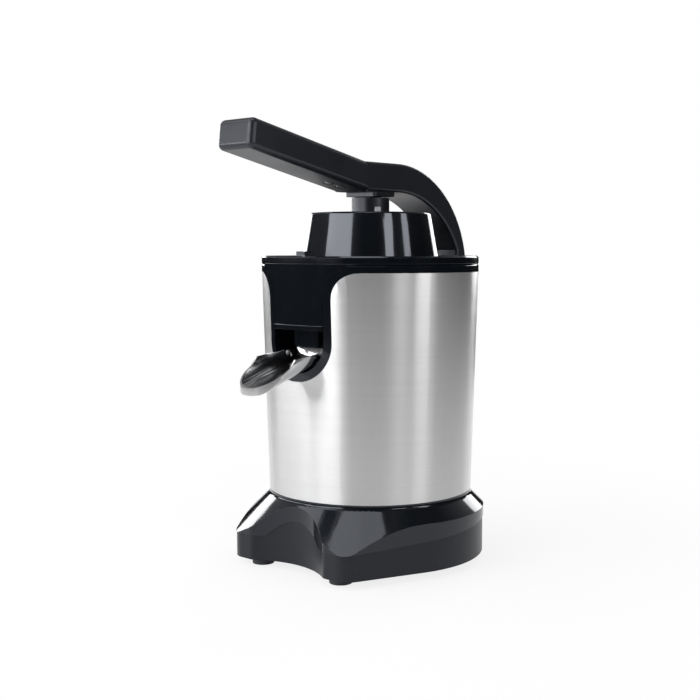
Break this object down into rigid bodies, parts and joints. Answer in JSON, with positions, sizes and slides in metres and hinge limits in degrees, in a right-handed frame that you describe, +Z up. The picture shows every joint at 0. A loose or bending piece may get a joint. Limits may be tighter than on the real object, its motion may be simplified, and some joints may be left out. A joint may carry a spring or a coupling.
{
  "type": "electric citrus juicer",
  "caption": "Electric citrus juicer: tapered steel body on a footed base, lever arm with a press cap over a reaming cone, tilting steel spout.",
  "frame": {"origin": "on the body's vertical axis at table level, under the reaming cone", "axes": "+Z up along the body's axis, -Y towards the front with the spout and the lever's grip, +X to the right seen from behind"},
  "size_m": [0.1592, 0.2164, 0.2937],
  "materials": {
    "brushed_steel": "horizontally brushed stainless steel",
    "polished_steel": "polished stainless steel",
    "tool_steel": "turned steel",
    "gloss_black": "glossy black plastic",
    "satin_black": "satin black plastic",
    "matte_grey": "matte dark grey plastic",
    "inner_black": "moulded black plastic",
    "liner_plastic": "dark moulded plastic",
    "cone_plastic": "smooth dark plastic",
    "rubber_black": "black rubber",
    "seal_rubber": "grey rubber",
    "clip_grey": "light grey plastic",
    "gear_nylon": "natural nylon",
    "bronze": "sintered bronze",
    "brass_part": "brass",
    "copper_wire": "enamelled copper",
    "lamination": "stacked steel laminations",
    "carbon": "carbon",
    "switch_plastic": "dark switch plastic",
    "plunger_plastic": "red plastic"
  },
  "bodies": {
    "housing": {"base_skirt": "matte_grey", "base_shell": "gloss_black", "bottom_plate": "inner_black", "rubber_feet": "rubber_black", "base_screws": "tool_steel", "cord_grommet": "rubber_black", "steel_sleeve": "brushed_steel", "inner_body": "inner_black", "upper_collar": "gloss_black", "hinge_pin": "tool_steel", "juice_collector": "gloss_black", "shaft_seal": "seal_rubber", "strainer": "satin_black", "gearbox_case": "inner_black", "gearbox_cover": "inner_black", "gearbox_screws": "tool_steel", "drive_bushes": "bronze", "idler_bushes": "bronze", "motor_bushes": "bronze", "motor_stator": "lamination", "motor_coils": "copper_wire", "motor_bracket": "inner_black", "motor_bolts": "tool_steel", "brush_boxes": "brass_part", "carbon_brushes": "carbon", "switch_body": "switch_plastic", "return_spring": "tool_steel", "spout_pins": "tool_steel"},
    "lever": {"lever_arm": "satin_black", "handle_grip": "satin_black", "handle_screws": "tool_steel", "cap_pivot_pin": "tool_steel"},
    "cap": {"press_cap": "gloss_black", "cap_hub": "satin_black", "hub_clip": "clip_grey", "cap_liner": "liner_plastic"},
    "spout": {"spout": "polished_steel"},
    "press": {"thrust_cup": "gear_nylon"},
    "cone": {"reamer_cone": "cone_plastic", "drive_shaft": "tool_steel", "shaft_clip": "tool_steel", "output_gear": "gear_nylon"},
    "idler": {"idler_gear": "gear_nylon", "idler_arbor": "tool_steel"},
    "rotor": {"rotor_core": "lamination", "motor_shaft": "tool_steel", "motor_pinion": "brass_part", "commutator": "copper_wire", "cooling_fan": "switch_plastic"},
    "plunger": {"switch_plunger": "plunger_plastic"}
  },
  "joints": [
    {"name": "lever_hinge", "type": "hinge", "parent": "housing", "child": "lever", "pos_m": [0, 0.083, 0.197], "axis": [-1, 0, 0], "range_deg": [0, 75]},
    {"name": "cap_tilt", "type": "hinge", "parent": "lever", "child": "cap", "pos_m": [0, 0, 0.258], "axis": [1, 0, 0], "range_deg": [-2.5, 2.5]},
    {"name": "spout_tilt", "type": "hinge", "parent": "housing", "child": "spout", "pos_m": [0, -0.064, 0.145], "axis": [-1, 0, 0], "range_deg": [0, 35]},
    {"name": "cone_press", "type": "slide", "parent": "housing", "child": "press", "axis": [0, 0, -1], "range_m": [0, 0.0025], "stiffness_N_per_m": 1500, "springref_m": -0.006, "deforming": ["return_spring"]},
    {"name": "cone_spin", "type": "hinge", "parent": "press", "child": "cone", "pos_m": [0, 0, 0.19], "axis": [0, 0, 1], "continuous": true},
    {"name": "idler_spin", "type": "hinge", "parent": "housing", "child": "idler", "pos_m": [0.035, 0, 0.13], "axis": [0, 0, 1], "continuous": true},
    {"name": "rotor_spin", "type": "hinge", "parent": "housing", "child": "rotor", "pos_m": [0.00902, 0.015, 0.08], "axis": [0, 0, 1], "continuous": true},
    {"name": "plunger_slide", "type": "slide", "parent": "housing", "child": "plunger", "axis": [0, 0, -1], "range_m": [0, 0.0025]}
  ],
  "couplings": [
    {"joint": "idler_spin", "follows": "cone_spin", "ratio": -4},
    {"joint": "rotor_spin", "follows": "cone_spin", "ratio": 16},
    {"joint": "plunger_slide", "follows": "cone_press", "ratio": 1}
  ]
}
